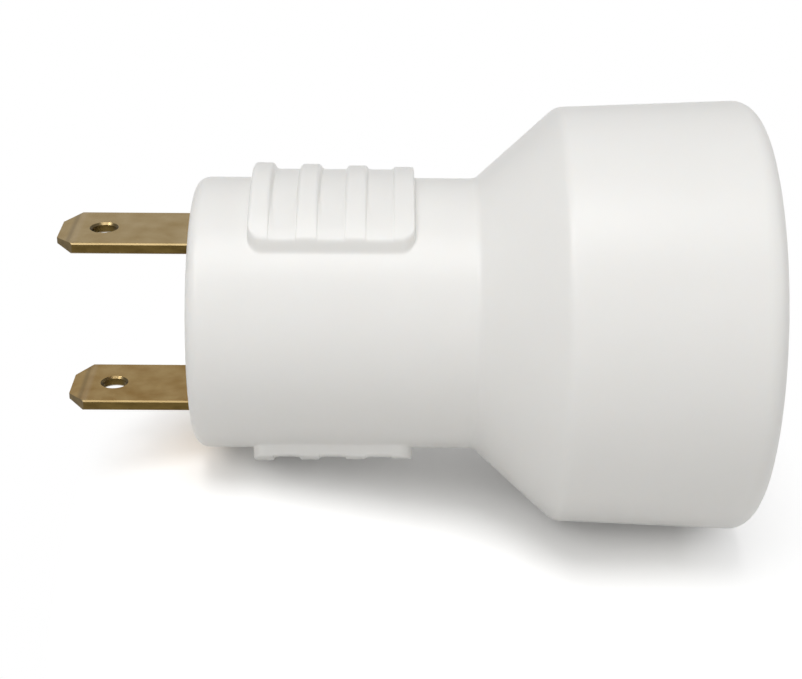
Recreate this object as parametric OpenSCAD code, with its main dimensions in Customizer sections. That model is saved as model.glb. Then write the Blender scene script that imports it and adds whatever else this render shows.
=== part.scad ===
// Push-in lamp holder for a refrigerator lamp with a small screw cap
// The axis runs along X, the mouth faces +X and the connector tabs point to -X
// The origin is on the axis, at the middle of the round neck between the grips and the cone,
// where the rim of a panel hole holds the lamp holder

/* [Housing] */
// Outer diameter of the neck
neck_d = 20.1; // [19.9:0.1:23]
// Length of the neck from the rear face to the start of the cone
neck_l = 20.5; // [19.8:0.1:26]
// Length of the cone along the axis
cone_l = 5.9; // [4:0.1:9]
// Outer diameter of the drum where it leaves the cone
drum_d = 30.7; // [28:0.1:36]
// Length of the drum from the cone to the mouth
drum_l = 14.5; // [8:0.1:24]
// Mould draft of the drum in degrees, wider at the mouth
drum_draft = 2.4; // [0:0.1:4]
// Wall of the neck
neck_wall = 2; // [1.6:0.1:2.1]
// Wall of the cone and the drum
drum_wall = 2.4; // [2.2:0.1:3.2]
// Thickness of the rear wall under the contact base
rear_wall = 3.2; // [3:0.1:4.2]

/* [Housing edges] */
// Radius of the rounded edge of the rear face
rear_round = 1; // [0.4:0.1:2]
// Radius in the corner between neck and cone
throat_round = 0.8; // [0.2:0.1:1.5]
// Radius of the edge between cone and drum
shoulder_round = 1.4; // [0.2:0.1:2.5]
// Radius of the outer edge of the mouth
rim_round = 1.6; // [0.4:0.1:1.9]
// Radius of the inner edge of the mouth
mouth_round = 0.3; // [0.1:0.1:0.3]

/* [Finger grips] */
// Distance of the grips from the rear face
grip_start = 4.3; // [3:0.1:5]
// Length of a grip along the axis
grip_l = 11.7; // [8:0.1:13]
// Width of a grip across the axis
grip_w = 13.3; // [9:0.1:15]
// Radius of the grip's corners in plan
grip_corner = 1; // [0.3:0.1:1.6]
// Number of ribs on a grip
rib_count = 4; // [2:1:5]
// Width of a rib
rib_w = 1.5; // [0.9:0.1:1.8]
// Height of the rear rib above the neck, at the middle of the grip
rib_h_rear = 1.18; // [0.9:0.02:1.6]
// Height of the front rib above the neck, at the middle of the grip
rib_h_front = 0.82; // [0.8:0.02:1.4]
// Height of every rib above the neck at its ends
rib_h_side = 0.8; // [0.76:0.02:0.9]
// Radius of a rib's edges
rib_round = 0.25; // [0.1:0.05:0.4]
// Height of the groove floors above the neck, at the middle of the grip
groove_floor = 0.56; // [0.4:0.02:0.7]
// Height of the lip at each side of the grooves
lip_h = 0.72; // [0.7:0.02:0.74]
// Width of the lip at each side of the grooves
groove_lip = 0.8; // [0.4:0.1:1.6]

/* [Connector tabs] */
// Width of a tab
tab_w = 6.3; // [4.8:0.1:6.4]
// Thickness of a tab
tab_t = 0.8; // [0.5:0.1:0.9]
// Length of a tab behind the rear face
tab_l = 9.8; // [7:0.1:12]
// Distance between the middle planes of the two tabs
tab_spacing = 12.6; // [12.2:0.1:12.8]
// Length of the chamfer on the tab's corners, along the tab
tip_chamfer_l = 1.3; // [0.6:0.1:2]
// Width of the chamfer on the tab's corners, across the tab
tip_chamfer_w = 1.6; // [0.6:0.1:2]
// Length of the thinned end of the tab
coin_l = 1.2; // [0.5:0.1:1.6]
// Thickness at the very end of the tab
tip_t = 0.45; // [0.2:0.05:0.45]
// Bevel along the tab's long edges
tab_bevel = 0.1; // [0.05:0.01:0.15]
// Diameter of the hole in the tab
tab_hole_d = 1.8; // [1.2:0.1:2.2]
// Distance of the hole from the end of the tab
tab_hole_in = 3.2; // [2.6:0.1:4]
// Size of the flare at both ends of the hole
hole_flare = 0.15; // [0.05:0.05:0.2]
// Inside radius of the bend between tab and foot
bend_r = 0.3; // [0.1:0.05:0.4]
// Width of the riveted foot
foot_w = 4.6; // [4:0.1:4.8]
// Height of the locking barb
barb_h = 0.4; // [0.2:0.05:0.5]
// Width of the locking barb
barb_w = 2; // [1:0.1:3]
// Depth of the pocket for the barb, from the rear face
barb_depth = 1; // [0.7:0.1:1.2]

/* [Contact base and contacts] */
// Thickness of the insulating base
base_t = 2; // [1.5:0.1:2.6]
// Distance of each rivet from the axis
rivet_y = 4.2; // [4:0.1:4.4]
// Diameter of the rivet's shank
rivet_d = 2; // [1.6:0.1:2.2]
// Diameter of the rivet's head
rivet_head_d = 3.4; // [3:0.1:3.6]
// Height of the rivet's head
rivet_head_h = 0.7; // [0.5:0.05:0.9]
// Diameter of the rolled end of the rivet
rivet_roll_d = 2.8; // [2.6:0.1:3]
// Height of the rolled end of the rivet
rivet_roll_h = 0.5; // [0.3:0.05:0.6]
// Diameter of the hollow in the rolled end
rivet_hollow_d = 1.2; // [0.6:0.1:1.3]
// Thickness of the spring strip
spring_t = 0.4; // [0.3:0.05:0.5]
// Width of the spring strip
spring_w = 4; // [3:0.1:4.4]
// Height of the spring's crest above the base
spring_rise = 3.4; // [2.6:0.1:4]
// Length of the flat crest
spring_crest = 1.6; // [1:0.1:2]
// Length of the tail that bends down behind the crest, along and across the axis
spring_tail = 1.1; // [0.6:0.1:1.4]

/* [Screw shell] */
// Greatest inside diameter of the thread
thread_d = 14; // [13.9:0.02:14.1]
// Depth of the thread
thread_depth = 0.8; // [0.7:0.02:0.84]
// Distance from one turn of the thread to the next
thread_pitch = 2.822; // [2.5:0.001:3]
// Thickness of the sheet metal
shell_t = 0.35; // [0.25:0.01:0.4]
// Height of the sleeve's rear edge above the base
shell_lift = 2.8; // [2.4:0.1:3.4]
// Length of the sleeve with its flange
shell_l = 11.35; // [9:0.05:11.6]
// Width of the tongue that holds the sleeve
tongue_w = 4.2; // [3:0.1:4.6]

/* [Fits] */
// Clearance round the tabs in their slots
slot_fit = 0.12; // [0.05:0.01:0.2]
// Clearance of the base and the flange in the neck, and of the sleeve in its ribs
bore_fit = 0.1; // [0.05:0.01:0.15]
// Clearance of a rivet in its holes
rivet_fit = 0.04; // [0.01:0.01:0.08]
// Clearance of feet, barbs and rolled ends in their pockets
pocket_fit = 0.15; // [0.1:0.01:0.25]
// Width of a centring rib
centring_w = 1.4; // [0.8:0.1:2]

/* [Hidden] */

$fn = 96;
eps = 0.01;
arc_steps = 8;
neck_r = neck_d / 2;
bore_r = neck_r - neck_wall;
mid_wall_r = neck_r - neck_wall / 2;
rib_depth = rib_h_rear + neck_wall;
drum_r = drum_d / 2;
cone_z = neck_l;
drum_z = neck_l + cone_l;
mouth_z = drum_z + drum_l;
mouth_r = drum_r + drum_l * tan(drum_draft);
seat_z = (grip_start + grip_l + neck_l) / 2;

// The cone's inner face lies one drum wall inside the outer face
cone_dir = unit([drum_r - neck_r, cone_l]);
cone_in = [neck_r - drum_wall * cone_dir[1], cone_z + drum_wall * cone_dir[0]];
bore_end_z = cone_in[1] + (bore_r - cone_in[0]) * cone_dir[1] / cone_dir[0];
drum_in_r = drum_r - drum_wall;
drum_in_z = cone_in[1] + (drum_in_r - cone_in[0]) * cone_dir[1] / cone_dir[0];

// Heights of the stack inside the neck
floor_z = rear_wall;
base_z = floor_z + base_t;
shell_z = base_z + shell_lift;
shell_top_z = shell_z + shell_l;
flange_z = shell_top_z - shell_t;

tab_y = tab_spacing / 2;
foot_end_y = rivet_y - foot_w / 2;
rivet_r = rivet_d / 2;
thread_r = thread_d / 2;
sleeve_out_r = thread_r + shell_t;
wave_r = thread_r - thread_depth / 2;
thread_sides = 36;
rows_per_turn = 8;
thread_rows = ceil((flange_z - shell_z) / thread_pitch * rows_per_turn);

function unit(v) = v / norm(v);

// Points of an arc of radius r that rounds corner q between its neighbours p and s
function corner_arc(p, q, s, r) =
    r == 0 ? [q] :
    let (
        a = unit(p - q),
        b = unit(s - q),
        half = acos(a * b) / 2,
        c = q + unit(a + b) * r / sin(half),
        from = q + a * r / tan(half) - c,
        to = q + b * r / tan(half) - c,
        sweep = 180 - 2 * half
    )
    [for (i = [0:arc_steps])
        let (k = i / arc_steps)
        c + (from * sin((1 - k) * sweep) + to * sin(k * sweep)) / sin(sweep)];

// A closed outline given as corners [x, y, radius]
function rounded(corners) =
    let (n = len(corners), at = [for (c = corners) [c[0], c[1]]])
    [for (i = [0:n - 1])
        each corner_arc(at[(i + n - 1) % n], at[i], at[(i + 1) % n], corners[i][2])];

// Outline of a bent strip of thickness t along the middle line
function strip(line, t) =
    let (
        n = len(line),
        dirs = [for (i = [0:n - 2]) unit(line[i + 1] - line[i])],
        side = function (d) [-d[1], d[0]],
        mitre = [for (i = [0:n - 1])
            i == 0 ? side(dirs[0]) :
            i == n - 1 ? side(dirs[n - 2]) :
            let (m = unit(side(dirs[i - 1]) + side(dirs[i]))) m / (m * side(dirs[i]))]
    )
    concat([for (i = [0:n - 1]) line[i] + mitre[i] * t / 2],
           [for (i = [n - 1:-1:0]) line[i] - mitre[i] * t / 2]);

// Turns the building direction Z to the part's X, and Y to the part's Z
module placed() {
    rotate([90, 0, 90]) translate([0, 0, -seat_z]) children();
}

// Extrudes a plan drawn in X and Z upwards along Y, from y = 0 to h
module upward(h) {
    rotate([90, 0, 0]) translate([0, 0, -h]) linear_extrude(h) children();
}

// Extrudes a side view drawn in Y and Z across X, to the full width w
module sideways(w) {
    rotate([90, 0, 90]) translate([0, 0, -w / 2]) linear_extrude(w) children();
}

// Children as they are, and turned over to the lower side
module both_sides() {
    children();
    mirror([0, 1, 0]) children();
}

// Housing

module housing_shell() {
    rotate_extrude()
        polygon(rounded([
            [0, 0, 0],
            [neck_r, 0, rear_round],
            [neck_r, cone_z, throat_round],
            [drum_r, drum_z, shoulder_round],
            [mouth_r, mouth_z, rim_round],
            [mouth_r - drum_wall, mouth_z, mouth_round],
            [drum_in_r, drum_in_z, shoulder_round],
            [bore_r, bore_end_z, throat_round],
            [bore_r, floor_z, 0],
            [0, floor_z, 0]
        ]));
}

// Radius of the arch that is top high at the middle and passes through the point side [x, y]
function arch_r(top, side) = (pow(side[0], 2) + pow(top - side[1], 2)) / (2 * (top - side[1]));

// The point at the distance x from the middle plane where the radius from the axis is r
function at_side(x, r) = [x, sqrt(r * r - x * x)];

// One rib is an arched ring with rounded edges, cut to the grip's plan later
module grip_rib(i) {
    pitch = (grip_l - rib_w) / (rib_count - 1);
    top = neck_r + rib_h_rear + (rib_h_front - rib_h_rear) * i / (rib_count - 1);
    r = arch_r(top, at_side(grip_w / 2, neck_r + rib_h_side));
    z = grip_start + i * pitch;
    translate([0, top - r, 0])
        rotate_extrude()
            polygon(rounded([
                [r - rib_depth, z, 0],
                [r, z, rib_round],
                [r, z + rib_w, rib_round],
                [r - rib_depth, z + rib_w, 0]
            ]));
}

// The groove floor is flatter than the ribs, and meets the lip before the grip's sides
module grip_floor() {
    top = neck_r + groove_floor;
    r = arch_r(top, at_side(grip_w / 2 - groove_lip, neck_r + lip_h));
    intersection() {
        translate([0, top - r, grip_start]) cylinder(r = r, h = grip_l);
        translate([0, 0, grip_start]) cylinder(r = neck_r + lip_h, h = grip_l);
    }
}

module grip() {
    plan_h = neck_r + 2 * rib_h_rear;
    difference() {
        intersection() {
            upward(plan_h)
                polygon(rounded([
                    [-grip_w / 2, grip_start, grip_corner],
                    [grip_w / 2, grip_start, grip_corner],
                    [grip_w / 2, grip_start + grip_l, grip_corner],
                    [-grip_w / 2, grip_start + grip_l, grip_corner]
                ]));
            union() {
                for (i = [0:rib_count - 1]) grip_rib(i);
                grip_floor();
            }
        }
        cylinder(r = mid_wall_r, h = neck_l);
    }
}

// Low ribs inside the neck centre the sleeve and carry its flange
module centring_ribs() {
    foot_r = sleeve_out_r + bore_fit;
    for (a = [45:90:315])
        rotate(a)
            translate([foot_r, -centring_w / 2, floor_z - eps])
                cube([mid_wall_r - foot_r, centring_w, flange_z - floor_z + eps]);
}

// Slot, barb pocket, foot pocket and rivet recess of the upper tab
module tab_opening() {
    slot_t = tab_t + 2 * slot_fit;
    slot_w = tab_w + 2 * slot_fit;
    pocket_y = foot_end_y - pocket_fit;
    barb_y = tab_y - tab_t / 2 - barb_h - pocket_fit;
    pocket_w = foot_w + 2 * pocket_fit;
    translate([-slot_w / 2, tab_y - slot_t / 2, -eps]) cube([slot_w, slot_t, floor_z + 2 * eps]);
    translate([-barb_w / 2 - pocket_fit, barb_y, -eps])
        cube([barb_w + 2 * pocket_fit, tab_y - barb_y, barb_depth + eps]);
    translate([-pocket_w / 2, rivet_y, floor_z - tab_t])
        cube([pocket_w, tab_y - rivet_y, tab_t + eps]);
    translate([0, rivet_y, floor_z - tab_t]) cylinder(d = pocket_w, h = tab_t + eps);
    translate([0, rivet_y, floor_z - tab_t - rivet_roll_h - pocket_fit])
        cylinder(d = rivet_roll_d + 2 * pocket_fit, h = rivet_roll_h + tab_t);
    // Relief for the inside of the bend
    sideways(pocket_w)
        polygon([
            [tab_y, floor_z - tab_t + eps],
            [tab_y - tab_t / 2 - bend_r - pocket_fit, floor_z - tab_t + eps],
            [tab_y - tab_t / 2, floor_z - tab_t - bend_r - pocket_fit],
            [tab_y, floor_z - tab_t - bend_r - pocket_fit]
        ]);
}

module housing() {
    color("#F3F2EF")
    placed()
    difference() {
        union() {
            housing_shell();
            both_sides() grip();
            centring_ribs();
        }
        both_sides() tab_opening();
    }
}

// Connector tabs

// Side view of the tab in Y and Z: blade with its thinned end, bend and foot
module tab_side() {
    outer_y = tab_y + tab_t / 2;
    inner_y = tab_y - tab_t / 2;
    polygon(rounded([
        [tab_y + tip_t / 2, -tab_l, 0],
        [outer_y, coin_l - tab_l, 0],
        [outer_y, floor_z, bend_r + tab_t / 2],
        [foot_end_y, floor_z, 0],
        [foot_end_y, floor_z - tab_t, 0],
        [inner_y, floor_z - tab_t, bend_r],
        [inner_y, coin_l - tab_l, 0],
        [tab_y - tip_t / 2, -tab_l, 0]
    ]));
}

// Blade seen from above, with chamfered corners at its end
module tab_plan() {
    half_w = tab_w / 2;
    polygon([
        [-half_w, floor_z],
        [-half_w, tip_chamfer_l - tab_l],
        [tip_chamfer_w - half_w, -tab_l],
        [half_w - tip_chamfer_w, -tab_l],
        [half_w, tip_chamfer_l - tab_l],
        [half_w, floor_z]
    ]);
}

// Cross-section of the blade with its bevelled edges
module tab_section() {
    half_w = tab_w / 2;
    half_t = tab_t / 2;
    polygon([
        [-half_w, tab_y - half_t + tab_bevel],
        [tab_bevel - half_w, tab_y - half_t],
        [half_w - tab_bevel, tab_y - half_t],
        [half_w, tab_y - half_t + tab_bevel],
        [half_w, tab_y + half_t - tab_bevel],
        [half_w - tab_bevel, tab_y + half_t],
        [tab_bevel - half_w, tab_y + half_t],
        [-half_w, tab_y + half_t - tab_bevel]
    ]);
}

module tab() {
    blade_l = tab_l + floor_z;
    difference() {
        intersection() {
            sideways(tab_w) tab_side();
            union() {
                intersection() {
                    upward(neck_r) tab_plan();
                    translate([0, 0, -tab_l]) linear_extrude(blade_l) tab_section();
                }
                translate([-foot_w / 2, rivet_y, floor_z - tab_t - bend_r])
                    cube([foot_w, tab_y - rivet_y, tab_t + bend_r]);
                translate([0, rivet_y, floor_z - tab_t]) cylinder(d = foot_w, h = tab_t);
            }
        }
        translate([0, tab_y, tab_hole_in - tab_l]) rotate([-90, 0, 0]) tab_hole();
        translate([0, rivet_y, 0]) cylinder(r = rivet_r + rivet_fit, h = base_z);
    }
    tab_barb();
}

// The hole about its own middle, flared at both ends where the punch went in and out
module tab_hole() {
    hole_r = tab_hole_d / 2;
    face_h = tab_t / 2;
    out_r = hole_r + hole_flare + eps;
    rotate_extrude()
        polygon([
            [0, -face_h - eps],
            [out_r, -face_h - eps],
            [hole_r, hole_flare - face_h],
            [hole_r, face_h - hole_flare],
            [out_r, face_h + eps],
            [0, face_h + eps]
        ]);
}

// Wedge on the inner face that snaps behind the pocket's floor
module tab_barb() {
    root_y = tab_y - tab_t / 2;
    ramp_z = barb_depth - pocket_fit;
    sideways(barb_w)
        polygon([
            [root_y + tab_bevel, eps],
            [root_y, eps],
            [root_y - barb_h, ramp_z],
            [root_y + tab_bevel, ramp_z]
        ]);
}

module shell_tab() {
    color("#B39A62") placed() tab();
}

module centre_tab() {
    color("#B39A62") placed() mirror([0, 1, 0]) tab();
}

// Contact base and contacts

module contact_base() {
    notch_r = sleeve_out_r + bore_fit - pocket_fit;
    notch_w = centring_w + 2 * pocket_fit;
    color("#D9D0BC")
    placed()
    difference() {
        translate([0, 0, floor_z]) cylinder(r = bore_r - bore_fit, h = base_t);
        for (a = [45:90:315])
            rotate(a)
                translate([notch_r, -notch_w / 2, floor_z - eps])
                    cube([neck_r, notch_w, base_t + 2 * eps]);
        both_sides()
            translate([0, rivet_y, floor_z - eps])
                cylinder(r = rivet_r + rivet_fit, h = base_t + 2 * eps);
    }
}

// Sprung strip from the lower rivet up to a flat crest on the axis
module centre_contact() {
    mid_z = base_z + spring_t / 2;
    crest_z = base_z + spring_rise - spring_t / 2;
    root_y = -foot_end_y;
    line = [
        [-rivet_y, mid_z],
        [root_y, mid_z],
        [-spring_crest / 2, crest_z],
        [spring_crest / 2, crest_z],
        [spring_crest / 2 + spring_tail, crest_z - spring_tail]
    ];
    color("#B5835A")
    placed()
    difference() {
        union() {
            sideways(spring_w) polygon(strip(line, spring_t));
            translate([0, -rivet_y, base_z]) cylinder(d = foot_w, h = spring_t);
        }
        translate([0, -rivet_y, base_z - eps])
            cylinder(r = rivet_r + rivet_fit, h = spring_t + 2 * eps);
    }
}

// Screw shell

// Inside radius of the rolled sleeve at angle a and height z: plain at both ends, waved between
function sleeve_r(a, z) =
    let (
        k = (z - shell_z) / (flange_z - shell_z),
        fade = min(1, (z - shell_z) / thread_pitch * 2, (flange_z - z) / thread_pitch),
        plain = wave_r + thread_depth / 2 * k,
        wave = wave_r + thread_depth / 2 * cos(a - 360 * (z - shell_z) / thread_pitch)
    )
    plain + (wave - plain) * fade;

// The cut wall of the sleeve at angle a: up the inside, round the flange and down the outside
function sleeve_section(a) =
    let (rows = [for (i = [0:thread_rows]) shell_z + (flange_z - shell_z) * i / thread_rows])
    concat(
        [for (z = rows) [sleeve_r(a, z), z]],
        [[thread_r, shell_top_z], [bore_r - bore_fit, shell_top_z], [bore_r - bore_fit, flange_z]],
        [for (i = [thread_rows:-1:0]) [sleeve_r(a, rows[i]) + shell_t, rows[i]]]
    );

module sleeve() {
    angles = [for (i = [0:thread_sides - 1]) 360 * i / thread_sides];
    size = len(sleeve_section(0));
    points = [for (a = angles) for (p = sleeve_section(a)) [p[0] * cos(a), p[0] * sin(a), p[1]]];
    at = function (i, k) (i % thread_sides) * size + k % size;
    polyhedron(
        points,
        [for (i = [0:thread_sides - 1])
            for (k = [0:size - 1])
                each [
                    [at(i, k), at(i + 1, k), at(i + 1, k + 1)],
                    [at(i, k), at(i + 1, k + 1), at(i, k + 1)]
                ]]
    );
}

// Flat tongue from the sleeve's rear edge down to the base, bent inwards under the rivet
module tongue() {
    line = [
        [wave_r + shell_t / 2, shell_z + shell_t],
        [wave_r + shell_t / 2, base_z + shell_t / 2],
        [rivet_y, base_z + shell_t / 2]
    ];
    difference() {
        union() {
            sideways(tongue_w) polygon(strip(line, shell_t));
            translate([0, rivet_y, base_z]) cylinder(d = foot_w, h = shell_t);
        }
        translate([0, rivet_y, base_z - eps]) cylinder(r = rivet_r + rivet_fit, h = shell_t + 2 * eps);
    }
}

module screw_shell() {
    color("#C9C8C4")
    placed()
    union() {
        sleeve();
        tongue();
    }
}

// Rivets

// Tubular rivet through a stack of thickness grip, standing on the plane z = 0
module rivet(grip) {
    rotate_extrude()
        polygon(rounded([
            [0, 0, 0],
            [rivet_hollow_d / 2, 0, 0],
            [rivet_hollow_d / 2, -rivet_roll_h, 0],
            [rivet_roll_d / 2, -rivet_roll_h, rivet_roll_h / 2],
            [rivet_roll_d / 2, 0, 0],
            [rivet_r, 0, 0],
            [rivet_r, grip, 0],
            [rivet_head_d / 2, grip, 0],
            [rivet_head_d / 2, grip + rivet_head_h, rivet_head_h / 2],
            [0, grip + rivet_head_h, 0]
        ]));
}

module rivets() {
    stack = tab_t + base_t;
    color("#C2AE78")
    placed() {
        translate([0, -rivet_y, floor_z - tab_t]) rivet(stack + spring_t);
        translate([0, rivet_y, floor_z - tab_t]) rivet(stack + shell_t);
    }
}

housing();
shell_tab();
centre_tab();
contact_base();
centre_contact();
screw_shell();
rivets();
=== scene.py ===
import math

import bmesh
import bpy
import numpy as np
from mathutils import Matrix, Vector


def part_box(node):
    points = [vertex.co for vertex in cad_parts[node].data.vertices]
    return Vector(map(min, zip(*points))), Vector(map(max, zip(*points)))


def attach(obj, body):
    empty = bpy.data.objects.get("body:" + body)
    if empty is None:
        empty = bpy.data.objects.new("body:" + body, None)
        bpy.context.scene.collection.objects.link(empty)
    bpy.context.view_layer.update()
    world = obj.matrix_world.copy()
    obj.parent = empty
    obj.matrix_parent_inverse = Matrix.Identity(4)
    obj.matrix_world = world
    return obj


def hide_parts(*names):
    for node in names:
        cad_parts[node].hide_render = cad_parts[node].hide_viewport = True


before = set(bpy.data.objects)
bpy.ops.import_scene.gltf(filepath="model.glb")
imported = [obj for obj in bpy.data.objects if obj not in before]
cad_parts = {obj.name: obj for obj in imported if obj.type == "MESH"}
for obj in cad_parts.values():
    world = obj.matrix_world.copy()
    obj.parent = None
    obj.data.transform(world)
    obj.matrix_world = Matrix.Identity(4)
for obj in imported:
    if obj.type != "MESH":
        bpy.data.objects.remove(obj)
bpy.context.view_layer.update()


# View
# The photograph was taken from a little above, square to the lamp holder's axis, with a long
# lens. The lens, place and turn here were worked out from the outlines that it shows.
mm = 0.001
picture_w = 802
lens_px = 1766
camera_place = Vector((-4.27, -120.3, 54.19)) * mm
yaw, pitch, roll = 0.0097, -0.4382, 0.0103
camera = bpy.data.cameras.new("camera")
camera.sensor_width = 36
camera.lens = lens_px * camera.sensor_width / picture_w
ahead = Vector((math.sin(yaw) * math.cos(pitch), math.cos(yaw) * math.cos(pitch), math.sin(pitch)))
level_right = Vector((math.cos(yaw), -math.sin(yaw), 0))
level_up = level_right.cross(ahead)
right = math.cos(roll) * level_right + math.sin(roll) * level_up
up = math.cos(roll) * level_up - math.sin(roll) * level_right
camera_object = bpy.data.objects.new("camera", camera)
turn = Matrix((right, up, -ahead)).transposed().to_4x4()
camera_object.matrix_world = Matrix.Translation(camera_place) @ turn
bpy.context.collection.objects.link(camera_object)
bpy.context.scene.camera = camera_object
bpy.context.scene.view_settings.view_transform = "Standard"


# Housing
# One injection moulding in white thermoplastic polyester: rear wall, neck with two ribbed
# finger grips, cone and wide drum. The polished mould leaves it semi-gloss, with every edge
# a little rounded, and the grips keep the draft that lets them leave the mould.
neck_r = 10.05
neck_wall = 2.0
bore_r = neck_r - neck_wall
drum_wall = 2.4
drum_r = 15.35
drum_draft = math.radians(2.4)
rear_wall = 3.2
rear_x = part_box("housing")[0].x / mm
mouth_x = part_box("housing")[1].x / mm
throat_x = rear_x + 20.5
drum_x = throat_x + 5.9
mouth_r = drum_r + (mouth_x - drum_x) * math.tan(drum_draft)
floor_x = rear_x + rear_wall
rear_round, throat_round, shoulder_round, rim_round, mouth_round = 1.0, 0.8, 1.4, 1.6, 0.3

grip_start = rear_x + 4.3
grip_l = 11.7
grip_w = 13.3
grip_corner = 1.0
grip_most_h = 1.6
grip_side_from, grip_side_to = 28, 47
rib_count = 4
rib_w = 1.5
rib_h_rear, rib_h_front, rib_h_side = 1.18, 0.82, 0.8
groove_floor = 0.56
lip_h = 0.72
groove_lip = 0.8
rib_edge = 0.28
rib_run_top, rib_run_side = 0.06, 0.9
grip_edge = 0.12
grip_root = 0.08

tab_spacing = 12.6
tab_w, tab_t = 6.3, 0.8
slot_fit, pocket_fit = 0.12, 0.15
barb_w, barb_h, barb_depth = 2.0, 0.4, 1.0
rivet_z = 4.2
foot_r = 2.3
roll_r, roll_h = 1.4, 0.5
flange_x = rear_x + 19.0
centring_r = 7.45
centring_w = 1.4
plug_r = 8.0
arc_steps = 8
on_radius = 1e-6


def unit(v):
    return v / np.linalg.norm(v)


def corner_arc(p, q, s, radius):
    """Points (x, r) that round the corner q between its neighbours p and s."""
    p, q, s = (np.array(v, float) for v in (p, q, s))
    a, b = unit(p - q), unit(s - q)
    half = math.acos(a @ b) / 2
    centre = q + unit(a + b) * radius / math.sin(half)
    start, end = q + a * radius / math.tan(half) - centre, q + b * radius / math.tan(half) - centre
    sweep = math.pi - 2 * half
    return [
        centre + (start * math.sin((1 - k) * sweep) + end * math.sin(k * sweep)) / math.sin(sweep)
        for k in np.linspace(0, 1, arc_steps + 1)
    ]


def housing_outline():
    """The wall's outline as (x, r): out on the rear face, forward outside, back to the floor."""
    along = unit(np.array([drum_x - throat_x, drum_r - neck_r]))
    inner = np.array([throat_x + drum_wall * along[1], neck_r - drum_wall * along[0]])
    bore_end = inner + along * (bore_r - inner[1]) / along[1]
    drum_in = inner + along * (drum_r - drum_wall - inner[1]) / along[1]
    corners = [
        ((rear_x, plug_r), 0), ((rear_x, neck_r), rear_round), ((throat_x, neck_r), throat_round),
        ((drum_x, drum_r), shoulder_round), ((mouth_x, mouth_r), rim_round),
        ((mouth_x, mouth_r - drum_wall), mouth_round), (drum_in, shoulder_round),
        (bore_end, throat_round), ((floor_x, bore_r), 0),
    ]
    points = [np.array(corners[0][0])]
    for i in range(1, len(corners) - 1):
        arc = corner_arc(corners[i - 1][0], corners[i][0], corners[i + 1][0], corners[i][1])
        points.extend(arc)
    points.append(np.array(corners[-1][0]))
    return np.array(points)


def with_rows(outline, rows, r):
    """Adds rows of points on the straight stretch of the outline at radius r."""
    on_line = np.abs(outline[:, 1] - r) < on_radius
    first = int(np.argmax(on_line & np.roll(on_line, -1)))
    x0, x1 = outline[first, 0], outline[first + 1, 0]
    inside = [x for x in rows if min(x0, x1) + 0.02 < x < max(x0, x1) - 0.02]
    inside.sort(reverse=x1 < x0)
    new = np.array([(x, r) for x in inside]).reshape(-1, 2)
    return np.vstack([outline[:first + 1], new, outline[first + 1:]])


def step_rows(x, direction):
    """Rows close together over a moulded edge at x, whose rounding runs in the direction."""
    offsets = (-0.25, -0.18, -0.1, -0.04, -0.002, 0.002, 0.03, 0.07, 0.12, 0.18, 0.24, 0.3, 0.38)
    return [x + direction * d for d in offsets]


def grip_rows():
    """Rows along the neck: even over the grips, and closer at their corners and ribs."""
    rows = list(np.arange(grip_start - 1, grip_start + grip_l + 1, 0.22))
    corner = np.arange(0.0, 1.5 * grip_corner, 0.1)
    rows += list(grip_start + corner) + list(grip_start + grip_l - corner)
    pitch = (grip_l - rib_w) / (rib_count - 1)
    for i in range(rib_count):
        rows += step_rows(grip_start + i * pitch, 1) + step_rows(grip_start + i * pitch + rib_w, -1)
    rows.sort()
    kept = rows[:1]
    for x in rows[1:]:
        if x - kept[-1] > 0.0035:
            kept.append(x)
    return kept


def edge_height(inside, top):
    """Height over a moulded step: root fillet, wall and rounded top, by distance inside it."""
    edge = min(grip_edge, 0.95 * float(np.min(top)))
    on_root = np.clip(inside + grip_root, 0, grip_root)
    low = grip_root - np.sqrt(np.clip(grip_root ** 2 - on_root ** 2, 0, None))
    d = np.clip(edge - inside, 0, edge)
    high = top - edge + np.sqrt(edge ** 2 - d ** 2)
    return np.where(inside <= 0, np.minimum(low, top), high)


def arch(top, half_w, side_h, angle):
    """Height over the neck of an arch: top high at its middle, side_h high at half_w aside."""
    side_z = math.sqrt((neck_r + side_h) ** 2 - half_w ** 2)
    sag = neck_r + top - side_z
    radius = (half_w ** 2 + sag ** 2) / (2 * sag)
    drop = neck_r + top - radius
    return drop * np.cos(angle) + np.sqrt(radius ** 2 - (drop * np.sin(angle)) ** 2) - neck_r


def grip_top(x, angle):
    """Height of ribs and grooves over the neck, at x along the axis and angle from the top."""
    groove = np.minimum(arch(groove_floor, grip_w / 2 - groove_lip, lip_h, angle), lip_h)
    height = groove
    aside = np.clip(neck_r * np.abs(np.sin(angle)) / (grip_w / 2), 0, 1)
    # The ribs' flanks are steep at the top of the arch and run out flat towards its sides
    run = rib_run_top + (rib_run_side - rib_run_top) * aside ** 3
    pitch = (grip_l - rib_w) / (rib_count - 1)
    for i in range(rib_count):
        middle_h = rib_h_rear + (rib_h_front - rib_h_rear) * i / (rib_count - 1)
        rib_h = arch(middle_h, grip_w / 2, rib_h_side, angle)
        edge = np.clip((rib_h - groove) * 0.7, 0.02, rib_edge)
        inside = rib_w / 2 - np.abs(x - grip_start - rib_w / 2 - i * pitch)
        fall = np.clip(edge - inside, 0, edge)
        rib = rib_h - edge + np.sqrt(edge ** 2 - fall ** 2)
        flank = np.clip(1 + inside / run, 0, 1)
        flank = flank * flank * (3 - 2 * flank)
        height = np.maximum(height, groove + (rib - groove) * flank)
    return height


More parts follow.
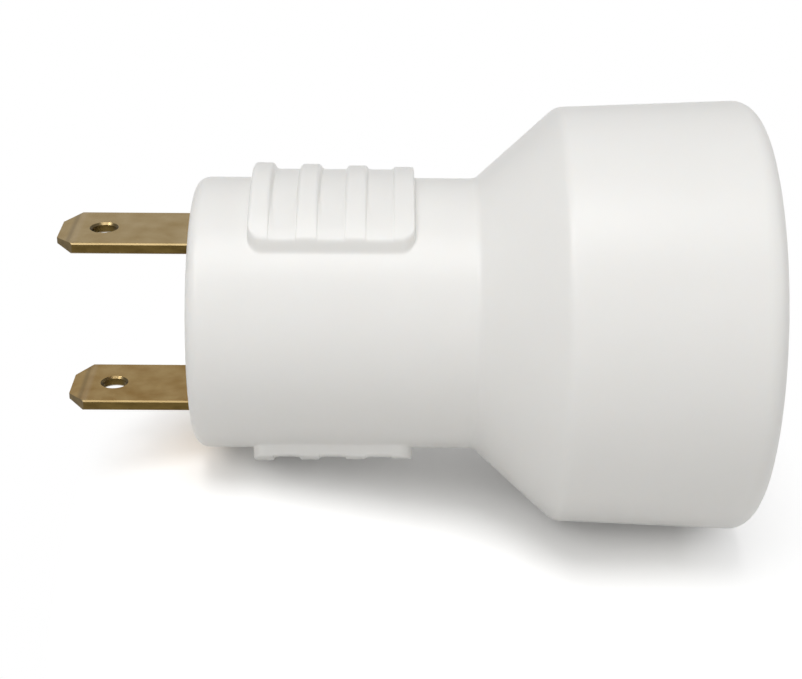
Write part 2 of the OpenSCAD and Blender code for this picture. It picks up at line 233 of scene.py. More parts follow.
def neck_surface(x, angle):
    """Radius of the neck with its grips, for arrays of x and of angle from the top."""
    folded = np.abs((angle + np.pi / 2) % np.pi - np.pi / 2)
    top = grip_top(x, folded)
    low, high = np.zeros_like(x), np.full_like(x, grip_most_h)
    centre_x = grip_start + grip_l / 2
    # The height where a radial line leaves the grip is found by halving
    for _ in range(26):
        mid = (low + high) / 2
        side = np.abs((neck_r + mid) * np.sin(folded))
        dx = np.abs(x - centre_x) - (grip_l / 2 - grip_corner)
        dy = side - (grip_w / 2 - grip_corner)
        outside = np.hypot(np.clip(dx, 0, None), np.clip(dy, 0, None)) + np.minimum(np.maximum(dx, dy), 0)
        inside = grip_corner - outside
        above = edge_height(inside, top) > mid
        low, high = np.where(above, mid, low), np.where(above, high, mid)
    return neck_r + low


def housing_angles():
    """Angles from the top round the housing, close together over the grips' sides."""
    fine = np.radians(np.arange(grip_side_from, grip_side_to, 0.5))
    coarse = [np.arange(0, grip_side_from, 2.5), np.arange(grip_side_to, 91, 2.5)]
    coarse = np.radians(np.concatenate(coarse))
    rib = math.asin(centring_w / 2 / bore_r)
    ribs = [math.pi / 4 + side * (rib + d) for side in (-1, 1) for d in (-1e-4, 1e-4)]
    quarter = np.unique(np.round(np.concatenate([fine, coarse, ribs]), 7))
    quarter = quarter[(quarter > 0) & (quarter < math.pi / 2 - 0.01)]
    half = np.concatenate([[0], quarter, [math.pi / 2], np.sort(math.pi - quarter)])
    return np.concatenate([half, half + math.pi])


def tube_faces(rows, turns):
    """Quads over rows of points that each close round the axis."""
    faces = []
    for i in range(rows - 1):
        for j in range(turns):
            a, b, k = i * turns, (i + 1) * turns, (j + 1) % turns
            faces.append((a + j, b + j, b + k, a + k))
    return faces


def mesh_from(name, points, faces):
    """A mesh from points in millimetres and faces."""
    mesh = bpy.data.meshes.new(name)
    mesh.from_pydata((np.asarray(points).reshape(-1, 3) * mm).tolist(), [], faces)
    return mesh


def housing_points():
    """The wall's points in rows round the axis, with grips outside and centring ribs in the bore."""
    outline = with_rows(housing_outline(), grip_rows(), neck_r)
    outline = with_rows(outline, [flange_x, flange_x + 2e-3, floor_x + 1, floor_x + 8], bore_r)
    angles = housing_angles()
    x, a = np.meshgrid(outline[:, 0], angles, indexing="ij")
    r = np.repeat(outline[:, 1:2], len(angles), axis=1)
    on_neck = np.abs(r - neck_r) < on_radius
    r = np.where(on_neck, neck_surface(x, a), r)
    to_rib = np.abs(np.sin(2 * a)) > math.cos(2 * math.asin(centring_w / 2 / bore_r))
    in_bore = (np.abs(r - bore_r) < on_radius) & (x < flange_x + 1e-3)
    r = np.where(in_bore & to_rib, centring_r, r)
    return np.stack([x, r * np.sin(a), r * np.cos(a)], axis=-1)


def cutter(boxes, cylinders):
    """Closed shapes to cut with: boxes (low, high), and cylinders along X (x0, x1, z, r)."""
    tools = []
    for low, high in boxes:
        bm = bmesh.new()
        low, high = Vector(low) * mm, Vector(high) * mm
        place = Matrix.Translation((low + high) / 2) @ Matrix.Diagonal((*(high - low), 1))
        bmesh.ops.create_cube(bm, size=1, matrix=place)
        tools.append(bm)
    for x0, x1, z, r in cylinders:
        bm = bmesh.new()
        place = Matrix.Translation(Vector(((x0 + x1) / 2, 0, z)) * mm)
        place = place @ Matrix.Rotation(math.pi / 2, 4, "Y")
        bmesh.ops.create_cone(bm, cap_ends=True, segments=64, radius1=r * mm, radius2=r * mm,
                              depth=(x1 - x0) * mm, matrix=place)
        tools.append(bm)
    return tools


def cut(mesh, tool):
    """The mesh with the tool's solid cut out of it."""
    tool_mesh = bpy.data.meshes.new("tool")
    tool.to_mesh(tool_mesh)
    tool.free()
    blank, knife = bpy.data.objects.new("blank", mesh), bpy.data.objects.new("knife", tool_mesh)
    for obj in (blank, knife):
        bpy.context.collection.objects.link(obj)
    boolean = blank.modifiers.new("cut", "BOOLEAN")
    boolean.object = knife
    boolean.operation = "DIFFERENCE"
    boolean.solver = "EXACT"
    bpy.context.view_layer.update()
    depsgraph = bpy.context.evaluated_depsgraph_get()
    done = bpy.data.meshes.new_from_object(blank.evaluated_get(depsgraph))
    for obj in (blank, knife):
        bpy.data.objects.remove(obj)
    return done


def tab_opening(side):
    """Slot, barb pocket, foot pocket and rivet recess for the tab on one side, +1 is the top."""
    def block(x0, x1, half_w, z0, z1):
        z = sorted((side * z0, side * z1))
        return ((x0, -half_w, z[0]), (x1, half_w, z[1]))
    middle = tab_spacing / 2
    slot_half = tab_t / 2 + slot_fit
    pocket_r = foot_r + pocket_fit
    barb_floor = middle - tab_t / 2 - barb_h - pocket_fit
    foot_x = floor_x - tab_t
    boxes = [
        block(rear_x - 1, floor_x + 1, tab_w / 2 + slot_fit, middle - slot_half, middle + slot_half),
        block(rear_x - 1, rear_x + barb_depth, barb_w / 2 + pocket_fit, barb_floor, middle),
        block(foot_x, floor_x + 1, pocket_r, rivet_z, middle),
    ]
    cylinders = [
        (foot_x, floor_x + 1, side * rivet_z, pocket_r),
        (foot_x - roll_h - pocket_fit, floor_x + 1, side * rivet_z, roll_r + pocket_fit),
    ]
    return boxes, cylinders


def rear_wall_mesh(rear_ring, floor_ring):
    """The rear wall between its two rings, with the tabs' openings cut through it."""
    turns = len(rear_ring)
    faces = tube_faces(2, turns)
    faces.append(tuple(range(turns)))
    faces.append(tuple(turns + j for j in reversed(range(turns))))
    wall = mesh_from("rear_wall", np.vstack([rear_ring, floor_ring]), faces)
    for side in (1, -1):
        for tool in cutter(*tab_opening(side)):
            wall = cut(wall, tool)
    return wall


def housing_mesh():
    """The whole moulding: the wall, closed at the rear by the rear wall with its openings."""
    points = housing_points()
    rows, turns = points.shape[:2]
    bm = bmesh.new()
    bm.from_mesh(rear_wall_mesh(points[0], points[-1]))
    # The rear wall's own sides go, and its two faces join the other walls ring to ring
    rim_r = 0.95 * plug_r * mm
    sides = []
    for face in bm.faces:
        middle = face.calc_center_median()
        if abs(face.normal.x) < 0.9 and math.hypot(middle.y, middle.z) > rim_r:
            sides.append(face)
    bmesh.ops.delete(bm, geom=sides, context="FACES")
    bm.from_mesh(mesh_from("wall", points, tube_faces(rows, turns)))
    edge = [v for v in bm.verts if v.is_boundary]
    bmesh.ops.remove_doubles(bm, verts=edge, dist=0.0005 * mm)
    mesh = bpy.data.meshes.new("housing_moulding")
    bm.to_mesh(mesh)
    bm.free()
    return mesh


def smooth(obj, angle):
    """Smooth shading, with the edges sharper than the angle left crisp."""
    obj.data.shade_smooth()
    obj.data.set_sharp_from_angle(angle=math.radians(angle))


def colour(code):
    """Linear RGBA from an sRGB hex code."""
    parts = [int(code[i:i + 2], 16) / 255 for i in (1, 3, 5)]
    return (*[c / 12.92 if c <= 0.04045 else ((c + 0.055) / 1.055) ** 2.4 for c in parts], 1.0)


def add(tree, kind, inputs=None, **settings):
    """Adds a node; an input is a plain value, or a socket to link from."""
    made = tree.nodes.new(kind)
    for name, value in settings.items():
        setattr(made, name, value)
    for name, value in (inputs or {}).items():
        if isinstance(value, bpy.types.NodeSocket):
            tree.links.new(value, made.inputs[name])
        else:
            made.inputs[name].default_value = value
    return made


def new_material(name):
    """An empty material and its node tree."""
    material = bpy.data.materials.new(name)
    material.use_nodes = True
    material.node_tree.nodes.clear()
    return material, material.node_tree


def moulded_polyester():
    """White PBT from a polished mould: soft wide highlights, a faint flow in colour and gloss."""
    material, tree = new_material("moulded_white_polyester")
    where = add(tree, "ShaderNodeTexCoord").outputs["Object"]
    flow = add(tree, "ShaderNodeTexNoise", {"Vector": where, "Scale": 1 / (9 * mm), "Detail": 2.0})
    tint = add(tree, "ShaderNodeMix", {
        "Factor": flow.outputs["Fac"], "A": colour("#F4F3F0"), "B": colour("#F0EFEC"),
    }, data_type="RGBA")
    # A mould's polish shows as an uneven skin about 0.7 mm across, a few micrometres deep
    skin = add(tree, "ShaderNodeTexNoise", {"Vector": where, "Scale": 1 / (0.7 * mm), "Detail": 3.0})
    gloss = add(tree, "ShaderNodeMapRange", {
        "Value": skin.outputs["Fac"], "From Min": 0.3, "From Max": 0.7, "To Min": 0.37, "To Max": 0.41,
    })
    bump = add(tree, "ShaderNodeBump", {
        "Height": skin.outputs["Fac"], "Strength": 0.2, "Distance": 0.002 * mm,
    })
    surface = add(tree, "ShaderNodeBsdfPrincipled", {
        "Base Color": tint.outputs["Result"], "Roughness": gloss.outputs["Result"], "IOR": 1.45,
        "Normal": bump.outputs["Normal"], "Subsurface Weight": 0.25,
        "Subsurface Radius": (1.0, 0.9, 0.8), "Subsurface Scale": 0.9 * mm,
    })
    add(tree, "ShaderNodeOutputMaterial", {"Surface": surface.outputs["BSDF"]})
    return material


housing = bpy.data.objects.new("housing_moulding", housing_mesh())
bpy.context.collection.objects.link(housing)
smooth(housing, 32)
housing.data.materials.append(moulded_polyester())
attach(housing, "root")
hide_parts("housing")


# Connector tabs
# Blanked from 0.8 mm rolled brass strip, 6.3 mm wide, with chamfered and thinned ends. The faces keep the
# mill's fine lines along the strip, and the sheared edges are rough and darkened by painted shade.
pressed_l = 1.2
pressed_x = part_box("shell_tab")[0].x / mm + pressed_l


def rolled_brass(name, light, dark):
    """Half-hard brass strip: a satin face lined along the strip, with a few handling scuffs."""
    material, tree = new_material(name)
    where = add(tree, "ShaderNodeTexCoord").outputs["Object"]
    along = add(tree, "ShaderNodeMapping", {"Vector": where, "Scale": (0.02, 1, 1)})
    lines = add(tree, "ShaderNodeTexNoise", {
        "Vector": along.outputs["Vector"], "Scale": 1 / (0.09 * mm), "Detail": 3.0,
    })
    patches = add(tree, "ShaderNodeTexNoise", {"Vector": where, "Scale": 1 / (1.6 * mm), "Detail": 3.0})
    mottle = add(tree, "ShaderNodeMapRange", {
        "Value": patches.outputs["Fac"], "From Min": 0.3, "From Max": 0.7,
    })
    face = add(tree, "ShaderNodeMix", {
        "Factor": mottle.outputs["Result"], "A": colour(light), "B": colour(dark),
    }, data_type="RGBA")
    # The end was pressed thinner: a painted shade darkens the crease where the slope starts, and a
    # painted highlight lightens the face beside it
    place = add(tree, "ShaderNodeSeparateXYZ", {"Vector": where})
    for line_x, painted_light_tone, most in ((pressed_x - 0.25, "#9A8560", 0.45), (pressed_x + 0.15, "#F8DDB4", 0.3)):
        from_line = add(tree, "ShaderNodeMath", {
            0: place.outputs["X"], 1: line_x * mm,
        }, operation="SUBTRACT")
        beside = add(tree, "ShaderNodeMath", {0: from_line.outputs["Value"]}, operation="ABSOLUTE")
        crease_shade_and_highlight = add(tree, "ShaderNodeMapRange", {
            "Value": beside.outputs["Value"], "From Min": 0.3 * mm, "From Max": 0.05 * mm, "To Max": most,
        })
        face = add(tree, "ShaderNodeMix", {
            "Factor": crease_shade_and_highlight.outputs["Result"], "A": face.outputs["Result"], "B": colour(painted_light_tone),
        }, data_type="RGBA")
    # The blanking tool leaves the edges and the hole's wall torn and dull, smeared about 1 mm long; their
    # colour is also darkened well below brass as painted shade
    smears = add(tree, "ShaderNodeMapping", {"Vector": where, "Scale": (0.4, 1, 1)})
    torn = add(tree, "ShaderNodeTexNoise", {
        "Vector": smears.outputs["Vector"], "Scale": 1 / (0.5 * mm), "Detail": 4.0,
    })
    sheared_and_shaded_tint = add(tree, "ShaderNodeMix", {
        "Factor": torn.outputs["Fac"], "A": colour("#463719"), "B": colour("#7A663A"),
    }, data_type="RGBA")
    facing = add(tree, "ShaderNodeNewGeometry").outputs["True Normal"]
    split = add(tree, "ShaderNodeSeparateXYZ", {"Vector": facing})
    flat = add(tree, "ShaderNodeMath", {0: split.outputs["Z"]}, operation="ABSOLUTE")
    sheared_edge_and_shade = add(tree, "ShaderNodeMapRange", {
        "Value": flat.outputs["Value"], "From Min": 0.95, "From Max": 0.35,
    })
    metal = add(tree, "ShaderNodeMix", {
        "Factor": sheared_edge_and_shade.outputs["Result"], "A": face.outputs["Result"],
        "B": sheared_and_shaded_tint.outputs["Result"],
    }, data_type="RGBA")
    # The chamfer between face and edge is a little matt and catches the lamps; its brown is a painted
    # shade that dims that highlight
    from_corner = add(tree, "ShaderNodeMath", {
        0: flat.outputs["Value"], 1: 0.7,
    }, operation="SUBTRACT")
    off_corner = add(tree, "ShaderNodeMath", {0: from_corner.outputs["Value"]}, operation="ABSOLUTE")
    chamfer_painted_shade = add(tree, "ShaderNodeMapRange", {
        "Value": off_corner.outputs["Value"], "From Min": 0.2, "From Max": 0.08, "To Max": 0.85,
    })
    metal = add(tree, "ShaderNodeMix", {
        "Factor": chamfer_painted_shade.outputs["Result"], "A": metal.outputs["Result"], "B": colour("#6C5F45"),
    }, data_type="RGBA")
    gloss = add(tree, "ShaderNodeMapRange", {
        "Value": lines.outputs["Fac"], "From Min": 0.3, "From Max": 0.7, "To Min": 0.17, "To Max": 0.25,
    })
    dull = add(tree, "ShaderNodeMix", {
        "Factor": sheared_edge_and_shade.outputs["Result"], "A": gloss.outputs["Result"], "B": 0.45,
    }, data_type="FLOAT")
    bump = add(tree, "ShaderNodeBump", {
        "Height": lines.outputs["Fac"], "Strength": 0.3, "Distance": 0.003 * mm,
    })
    # The strip isn't quite flat: slow waves, a few micrometres high, bend what it mirrors
    waves = add(tree, "ShaderNodeTexNoise", {"Vector": where, "Scale": 1 / (4 * mm), "Detail": 1.0})
    uneven = add(tree, "ShaderNodeBump", {
        "Height": waves.outputs["Fac"], "Normal": bump.outputs["Normal"],
        "Strength": 1.0, "Distance": 0.12 * mm,
    })
    surface = add(tree, "ShaderNodeBsdfPrincipled", {
        "Base Color": metal.outputs["Result"], "Metallic": 1.0,
        "Roughness": dull.outputs["Result"], "Normal": uneven.outputs["Normal"],
    })
    add(tree, "ShaderNodeOutputMaterial", {"Surface": surface.outputs["BSDF"]})
    return material


# The lower tab gets a darker, redder brass: a painted shade, as it lies in less light than the upper tab
for name, light, dark in (("shell_tab", "#EED198", "#D9B878"), ("centre_tab", "#E8C481", "#CBA058")):
    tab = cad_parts[name]
    tab.data.materials.clear()
    tab.data.materials.append(rolled_brass(f"rolled_brass_{name}", light, dark))


# Contact base
# A small disc moulded in filled cream polyester, matt from its filler. It drops into the neck
# from the front and carries both riveted contacts.
def filled_polyester():
    """Mineral-filled polyester: matt, slightly mottled where the filler comes to the skin."""
    material, tree = new_material("filled_cream_polyester")
    where = add(tree, "ShaderNodeTexCoord").outputs["Object"]
    filler = add(tree, "ShaderNodeTexNoise", {"Vector": where, "Scale": 1 / (0.5 * mm), "Detail": 4.0})
    tint = add(tree, "ShaderNodeMix", {
        "Factor": filler.outputs["Fac"], "A": colour("#E2DAC8"), "B": colour("#D3C9B4"),
    }, data_type="RGBA")
    bump = add(tree, "ShaderNodeBump", {
        "Height": filler.outputs["Fac"], "Strength": 0.4, "Distance": 0.01 * mm,
    })
    surface = add(tree, "ShaderNodeBsdfPrincipled", {
        "Base Color": tint.outputs["Result"], "Roughness": 0.6, "IOR": 1.5,
        "Normal": bump.outputs["Normal"],
    })
    add(tree, "ShaderNodeOutputMaterial", {"Surface": surface.outputs["BSDF"]})
    return material


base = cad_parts["contact_base"]
base.data.materials.clear()
base.data.materials.append(filled_polyester())


# Centre contact
# A strip of phosphor bronze, blanked and bent to a flat crest that the lamp's end contact
# presses on. Its foot is riveted to the base and the lower tab.
def phosphor_bronze():
    """Spring-hard bronze strip: warm, fairly bright, with the mill's lines along the strip."""
    material, tree = new_material("phosphor_bronze_strip")
    where = add(tree, "ShaderNodeTexCoord").outputs["Object"]
    along = add(tree, "ShaderNodeMapping", {"Vector": where, "Scale": (1, 1, 0.03)})
    lines = add(tree, "ShaderNodeTexNoise", {
        "Vector": along.outputs["Vector"], "Scale": 1 / (0.1 * mm), "Detail": 3.0,
    })
    gloss = add(tree, "ShaderNodeMapRange", {
        "Value": lines.outputs["Fac"], "From Min": 0.3, "From Max": 0.7, "To Min": 0.22, "To Max": 0.34,
    })
    tint = add(tree, "ShaderNodeMix", {
        "Factor": lines.outputs["Fac"], "A": colour("#D9A679"), "B": colour("#C99465"),
    }, data_type="RGBA")
    surface = add(tree, "ShaderNodeBsdfPrincipled", {
        "Base Color": tint.outputs["Result"], "Metallic": 1.0, "Roughness": gloss.outputs["Result"],
    })
    add(tree, "ShaderNodeOutputMaterial", {"Surface": surface.outputs["BSDF"]})
    return material


def rounded_line(corners, radii):
    """A bent centre line (x, z) with its corners rounded."""
    line = [np.array(corners[0], float)]
    for i in range(1, len(corners) - 1):
        line.extend(corner_arc(corners[i - 1], corners[i], corners[i + 1], radii[i - 1]))
    line.append(np.array(corners[-1], float))
    return np.array(line)


def spaced(line, gap):
    """The line with extra points, so that no two are further apart than the gap."""
    out = [line[0]]
    for p, q in zip(line[:-1], line[1:]):
        n = max(1, math.ceil(np.linalg.norm(q - p) / gap))
        out.extend(p + (q - p) * k / n for k in range(1, n + 1))
    return np.array(out)


def strip_mesh(name, line, foot, half_w, t):
    """Sheet strip along the line (x, z), thickness t, with a round foot at height z = foot."""
    line = spaced(line, 0.12)
    side = 1 if line[0][1] > line[-1][1] else -1
    from_foot = line[:, 1] - foot
    reach = foot_r - 0.01
    past = np.clip(from_foot * side, 0, reach)
    on_foot = np.abs(from_foot) < foot_r
    wide = np.sqrt(foot_r ** 2 - np.clip(np.abs(from_foot), 0, reach) ** 2)
    widths = np.where(past > 0, wide, np.where(on_foot, np.maximum(wide, half_w), half_w))
    ahead = np.gradient(line, axis=0)
    ahead /= np.linalg.norm(ahead, axis=1)[:, None]
    up = np.stack([-ahead[:, 1], ahead[:, 0]], axis=1)
    bevel = 0.06
    rows = []
    for p, n, w in zip(line, up, widths):
        section = [(-w, bevel - t / 2), (bevel - w, -t / 2), (w - bevel, -t / 2), (w, bevel - t / 2),
                   (w, t / 2 - bevel), (w - bevel, t / 2), (bevel - w, t / 2), (-w, t / 2 - bevel)]
        rows.append([(p[0] + n[0] * h, y, p[1] + n[1] * h) for y, h in section])
    faces = tube_faces(len(rows), 8)
    faces += [tuple(range(8)), tuple((len(rows) - 1) * 8 + j for j in reversed(range(8)))]
    return mesh_from(name, rows, faces)


base_t = 2.0
base_x = floor_x + base_t
spring_w, spring_t = 4.0, 0.4
spring_rise = 3.4
slope_z, crest_z = 1.9, 0.8
tip_drop = 1.1
crest_x = base_x + spring_rise - spring_t / 2
lying_x = base_x + spring_t / 2
spring_line = rounded_line(
    [(lying_x, -rivet_z - foot_r), (lying_x, -slope_z), (crest_x, -crest_z), (crest_x, crest_z),
     (crest_x - tip_drop, slope_z)],
    [0.5, 0.6, 0.5])
spring = bpy.data.objects.new(
    "contact_spring", strip_mesh("contact_spring", spring_line, -rivet_z, spring_w / 2, spring_t))
bpy.context.collection.objects.link(spring)
smooth(spring, 40)
spring.data.materials.append(phosphor_bronze())
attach(spring, "root")
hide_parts("centre_contact")


# Screw shell
# Thin aluminium sheet, drawn to a sleeve and rolled to the lamp thread, with a flange at the
# front and a tongue at the rear that is riveted down. Rolling leaves it bright and faintly lined.
thread_pitch = 2.822
thread_r = 7.0
thread_depth = 0.8
shell_t = 0.35
flange_r = bore_r - 0.1
lip_round, sheet_edge = 0.3, 0.06
tongue_w, tongue_lap = 4.2, 0.6
sleeve_x = rear_x + 8.0
sleeve_end_x = flange_x + shell_t


def bright_aluminium():
    """Bright rolled aluminium: lines run round the sleeve, where the rolls pressed it."""
    material, tree = new_material("bright_rolled_aluminium")
    where = add(tree, "ShaderNodeTexCoord").outputs["Object"]
    split = add(tree, "ShaderNodeSeparateXYZ", {"Vector": where})
    rings = add(tree, "ShaderNodeTexNoise", {
        "W": split.outputs["X"], "Scale": 1 / (0.12 * mm), "Detail": 3.0,
    }, noise_dimensions="1D")
    patches = add(tree, "ShaderNodeTexNoise", {"Vector": where, "Scale": 1 / (2.2 * mm), "Detail": 2.0})
    tint = add(tree, "ShaderNodeMix", {
        "Factor": patches.outputs["Fac"], "A": colour("#DAD9D5"), "B": colour("#CECCC7"),
    }, data_type="RGBA")
    gloss = add(tree, "ShaderNodeMapRange", {
        "Value": rings.outputs["Fac"], "From Min": 0.3, "From Max": 0.7, "To Min": 0.2, "To Max": 0.32,
    })
    bump = add(tree, "ShaderNodeBump", {
        "Height": rings.outputs["Fac"], "Strength": 0.25, "Distance": 0.004 * mm,
    })
    surface = add(tree, "ShaderNodeBsdfPrincipled", {
        "Base Color": tint.outputs["Result"], "Metallic": 1.0,
        "Roughness": gloss.outputs["Result"], "Normal": bump.outputs["Normal"],
    })
    add(tree, "ShaderNodeOutputMaterial", {"Surface": surface.outputs["BSDF"]})
    return material


def sleeve_radius(angle, x):
    """Inside radius of the sleeve: plain at both ends, waved to the lamp thread between."""
    k = (x - sleeve_x) / (flange_x - sleeve_x)
    ends = np.minimum((x - sleeve_x) / thread_pitch * 2, (flange_x - x) / thread_pitch)
    fade = np.clip(ends, 0, 1)
    fade = fade * fade * (3 - 2 * fade)
    wave_r = thread_r - thread_depth / 2
    plain = wave_r + thread_depth / 2 * k
    wave = wave_r + thread_depth / 2 * np.cos(angle - 2 * np.pi * (x - sleeve_x) / thread_pitch)
    return plain + (wave - plain) * fade


def sleeve_mesh():
    """The rolled sleeve with its rounded flange, one closed sheet round the axis."""
    angles = np.linspace(0, 2 * np.pi, 144, endpoint=False)
    x = np.linspace(sleeve_x, flange_x - 0.2, 96)
    a, along = np.meshgrid(angles, x, indexing="ij")
    inner = sleeve_radius(a, along)
    outer_r = thread_r + shell_t
    lip = corner_arc((x[-1], thread_r), (sleeve_end_x, thread_r), (sleeve_end_x, flange_r), lip_round)
    rim = corner_arc((sleeve_end_x, thread_r), (sleeve_end_x, flange_r), (flange_x, flange_r), sheet_edge)
    edge = corner_arc((sleeve_end_x, flange_r), (flange_x, flange_r), (flange_x, thread_r), sheet_edge)
    neck = corner_arc((flange_x, flange_r), (flange_x, outer_r), (sleeve_x, outer_r), 0.08)
    turned = np.array(lip + rim + edge + neck)
    x_all = np.concatenate([x, turned[:, 0], x[::-1]])
    rows = []
    for i, angle in enumerate(angles):
        r_all = np.concatenate([inner[i], turned[:, 1], inner[i][::-1] + shell_t])
        rows.append(np.stack([x_all, r_all * math.cos(angle), r_all * math.sin(angle)], axis=1))
    # The section closes on itself, and so does the turn round the axis
    points = np.array(rows + rows[:1])
    mesh = mesh_from("screw_shell", points, tube_faces(len(rows) + 1, len(x_all)))
    bm = bmesh.new()
    bm.from_mesh(mesh)
    bmesh.ops.remove_doubles(bm, verts=bm.verts, dist=0.0005 * mm)
    tongue_x = base_x + shell_t / 2
    tongue_z = thread_r - thread_depth / 2 + shell_t / 2
    tongue_line = rounded_line(
        [(sleeve_x + tongue_lap, tongue_z), (tongue_x, tongue_z), (tongue_x, rivet_z - foot_r)], [0.4])
    bm.from_mesh(strip_mesh("tongue", tongue_line, rivet_z, tongue_w / 2, shell_t))
    bmesh.ops.recalc_face_normals(bm, faces=bm.faces)
    bm.to_mesh(mesh)
    bm.free()
    return mesh


shell = bpy.data.objects.new("rolled_screw_shell", sleeve_mesh())
bpy.context.collection.objects.link(shell)
smooth(shell, 40)
shell.data.materials.append(bright_aluminium())
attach(shell, "root")
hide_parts("screw_shell")


# Rivets
# Two tubular brass rivets join the tabs, the base and the contacts. They are turned, headed over
# the contacts in front and rolled over under the tabs' feet behind.
def plain_brass():
    """Turned and headed brass, smoother and yellower than the strip."""
    material, tree = new_material("headed_brass_rivet")
    where = add(tree, "ShaderNodeTexCoord").outputs["Object"]
    worn = add(tree, "ShaderNodeTexNoise", {"Vector": where, "Scale": 1 / (0.6 * mm), "Detail": 3.0})
    tint = add(tree, "ShaderNodeMix", {
        "Factor": worn.outputs["Fac"], "A": colour("#D8C48C"), "B": colour("#C6AF74"),
    }, data_type="RGBA")
    surface = add(tree, "ShaderNodeBsdfPrincipled", {
        "Base Color": tint.outputs["Result"], "Metallic": 1.0, "Roughness": 0.28,
    })
    add(tree, "ShaderNodeOutputMaterial", {"Surface": surface.outputs["BSDF"]})
    return material


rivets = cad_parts["rivets"]
rivets.data.materials.clear()
rivets.data.materials.append(plain_brass())


# Floor
# The photograph's white sheet. The lamp holder lies on its drum's edge and its lower grip, and
# the picture keeps its axis level, so the sheet stands higher under the neck than under the drum.
drum_swell = 0.6
drum_floor_z = -drum_r - drum_swell
grip_floor_z = -neck_r - rib_h_rear
sheet_reach = 1200.0
behind_l = 14.0
behind_drop = 0.7
fade_from, fade_to = 17.0, 29.0


def floor_mesh():
    """The sheet: level under the drum, up to the grip, and down again behind the rear face."""
    ramp_x = np.linspace(grip_start, drum_x + shoulder_round, 14)
    behind_x = np.linspace(rear_x - behind_l, rear_x, 8)
    x = np.concatenate([[-sheet_reach, -60], behind_x, ramp_x, [30, 60, sheet_reach]])
    k = np.clip((x - ramp_x[0]) / (ramp_x[-1] - ramp_x[0]), 0, 1)
    k = k + np.clip((rear_x - x) / behind_l, 0, 1) * behind_drop
    z = grip_floor_z + (drum_floor_z - grip_floor_z) * k
    verts = [(a * mm, y * mm, b * mm) for y in (-sheet_reach, sheet_reach) for a, b in zip(x, z)]
    n = len(x)
    faces = [(i, i + 1, n + i + 1, n + i) for i in range(n - 1)]
    mesh = bpy.data.meshes.new("floor")
    mesh.from_pydata(verts, [], faces)
    mesh.shade_smooth()
    return mesh


def white_sheet():
    """Matt white card. To the eye and in gloss it shows as plain white, but keeps its shadows.

    Away from the lamp holder the shadow fades out, as in the photograph's washed-out edges.
    """
    material, tree = new_material("white_card")
    path = add(tree, "ShaderNodeLightPath")
    seen = add(tree, "ShaderNodeMath", {
        0: path.outputs["Is Camera Ray"], 1: path.outputs["Is Glossy Ray"],
    }, operation="MAXIMUM")
    seen = add(tree, "ShaderNodeMath", {
        0: seen.outputs["Value"], 1: path.outputs["Is Transmission Ray"],
    }, operation="MAXIMUM")
    card = add(tree, "ShaderNodeBsdfDiffuse", {"Color": colour("#CDCCCA")})
    clean = add(tree, "ShaderNodeBsdfDiffuse", {"Color": (1.3, 1.3, 1.3, 1)})
    lift = add(tree, "ShaderNodeEmission", {"Color": (1, 1, 1, 1), "Strength": 0.04})
    near = add(tree, "ShaderNodeAddShader", {0: clean.outputs["BSDF"], 1: lift.outputs["Emission"]})
    white = add(tree, "ShaderNodeEmission", {"Color": (1, 1, 1, 1), "Strength": 1.0})
    where = add(tree, "ShaderNodeTexCoord").outputs["Object"]
    oval = add(tree, "ShaderNodeMapping", {
        "Vector": where, "Location": (-1 * mm, 0, 0), "Scale": (1, 0.4, 0),
    })
    away = add(tree, "ShaderNodeVectorMath", {0: oval.outputs["Vector"]}, operation="LENGTH")
    fade = add(tree, "ShaderNodeMapRange", {
        "Value": away.outputs["Value"], "From Min": fade_from * mm, "From Max": fade_to * mm,
    })
    bright = add(tree, "ShaderNodeMixShader", {
        "Fac": fade.outputs["Result"], 1: near.outputs["Shader"], 2: white.outputs["Emission"],
    })
    both = add(tree, "ShaderNodeMixShader", {
        "Fac": seen.outputs["Value"], 1: card.outputs["BSDF"], 2: bright.outputs["Shader"],
    })
    add(tree, "ShaderNodeOutputMaterial", {"Surface": both.outputs["Shader"]})
    return material


floor = bpy.data.objects.new("floor", floor_mesh())
floor.data.materials.append(white_sheet())
bpy.context.collection.objects.link(floor)


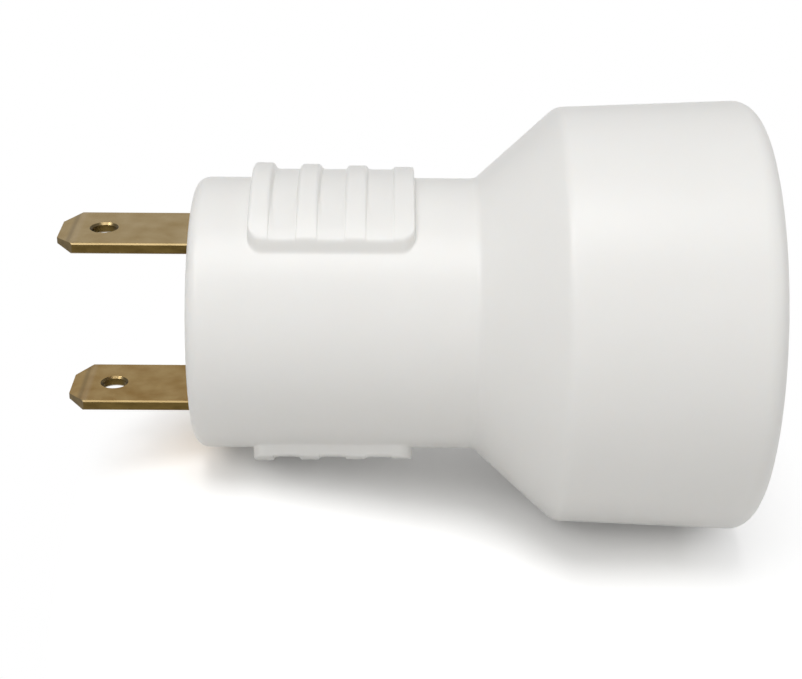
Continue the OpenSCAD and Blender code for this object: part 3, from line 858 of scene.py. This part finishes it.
# Light
# A white room with a soft box overhead, a wide weak one in front, a small one to the left and a
# weak one at the right that reaches the mouth. A last small one is seen only in gloss, where it
# draws the narrow highlights on the rounded edges.
room_low, room_back, room_top = 0.42, 0.36, 0.45


def room_light():
    """Even light from all round, a little darker at the horizon, seen as plain white."""
    world = bpy.data.worlds.new("room")
    bpy.context.scene.world = world
    world.use_nodes = True
    tree = world.node_tree
    tree.nodes.clear()
    direction = add(tree, "ShaderNodeTexCoord").outputs["Generated"]
    height = add(tree, "ShaderNodeSeparateXYZ", {"Vector": direction}).outputs["Z"]
    strength = add(tree, "ShaderNodeValToRGB", {"Fac": height})
    stops = strength.color_ramp.elements
    stops[0].position, stops[1].position = 0.3, 1.0
    stops.new(0.48)
    for stop, level in zip(stops, (room_low, room_back, room_top)):
        stop.color = (level, level, level, 1)
    path = add(tree, "ShaderNodeLightPath")
    room = add(tree, "ShaderNodeBackground", {"Color": strength.outputs["Color"], "Strength": 1.0})
    white = add(tree, "ShaderNodeBackground", {"Color": (1, 1, 1, 1), "Strength": 1.0})
    mix = add(tree, "ShaderNodeMixShader", {
        "Fac": path.outputs["Is Camera Ray"], 1: room.outputs["Background"],
        2: white.outputs["Background"],
    })
    add(tree, "ShaderNodeOutputWorld", {"Surface": mix.outputs["Shader"]})


def soft_box(name, place, size, power, gloss_only=False):
    """A rectangular lamp at a place in metres, turned to the lamp holder."""
    light = bpy.data.lights.new(name, "AREA")
    light.shape = "RECTANGLE"
    light.size, light.size_y = size
    light.energy = power
    obj = bpy.data.objects.new(name, light)
    obj.location = place
    obj.rotation_euler = Vector(place).to_track_quat("Z", "Y").to_euler()
    obj.visible_diffuse = not gloss_only
    bpy.context.collection.objects.link(obj)


room_light()
soft_box("top_box", (-0.04, -0.15, 0.485), (0.26, 0.26), 1.02)
soft_box("front_box", (0, -0.47, 0.17), (0.5, 0.3), 0.29)
soft_box("edge_box", (-0.26, -0.32, 0.35), (0.1, 0.2), 0.31)
soft_box("mouth_box", (0.46, -0.04, 0.2), (0.3, 0.3), 0.18)
soft_box("catch_box", (-0.27, -0.12, 0.41), (0.08, 0.08), 0.6, gloss_only=True)
